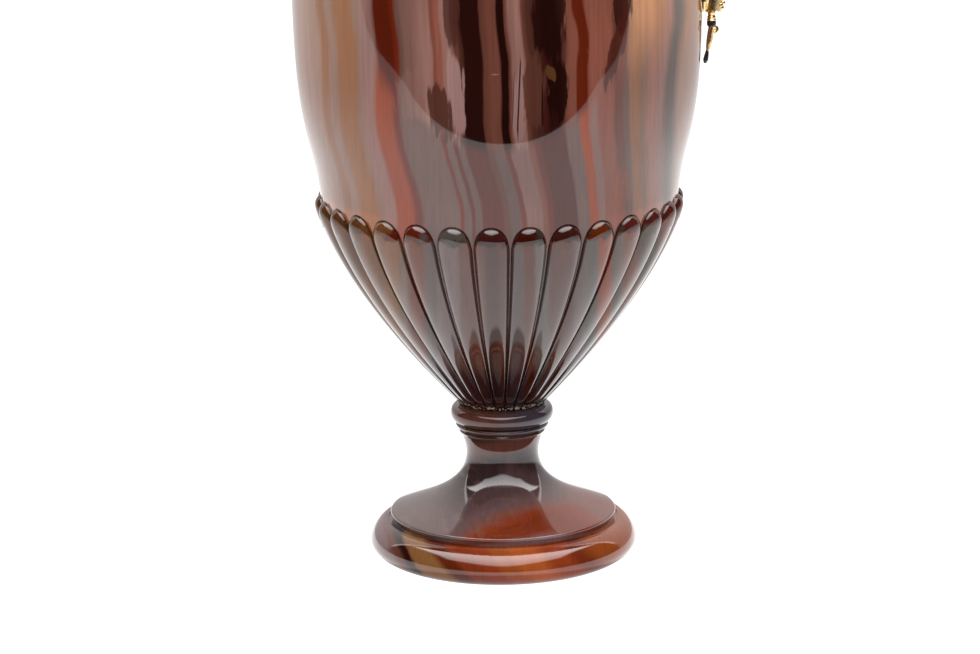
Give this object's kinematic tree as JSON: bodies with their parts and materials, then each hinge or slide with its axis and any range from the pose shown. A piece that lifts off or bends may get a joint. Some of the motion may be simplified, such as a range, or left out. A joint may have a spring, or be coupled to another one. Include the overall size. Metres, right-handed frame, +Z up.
{
  "type": "ewer",
  "caption": "Agate ewer with a gadrooned ovoid body on a turned foot, a spouted gilt lip and a gilt scroll handle, used for pouring and display",
  "frame": {"origin": "the centre of the foot's flat underside, on the ewer's turning axis", "axes": "+Z up along the turning axis; the spout points along -X and the handle stands at +X, so the picture looks along +Y; metres"},
  "size_m": [0.1517, 0.1126, 0.2991],
  "materials": {
    "foot_agate": "polished",
    "body_agate": "polished",
    "neck_agate": "polished",
    "collar_gilt": "satin",
    "lip_gilt": "satin",
    "handle_gilt": "satin"
  },
  "bodies": {
    "root": {"agate_foot": "foot_agate", "agate_body": "body_agate", "agate_neck": "neck_agate", "neck_collar": "collar_gilt", "spouted_lip": "lip_gilt", "scroll_handle": "handle_gilt"}
  },
  "joints": []
}
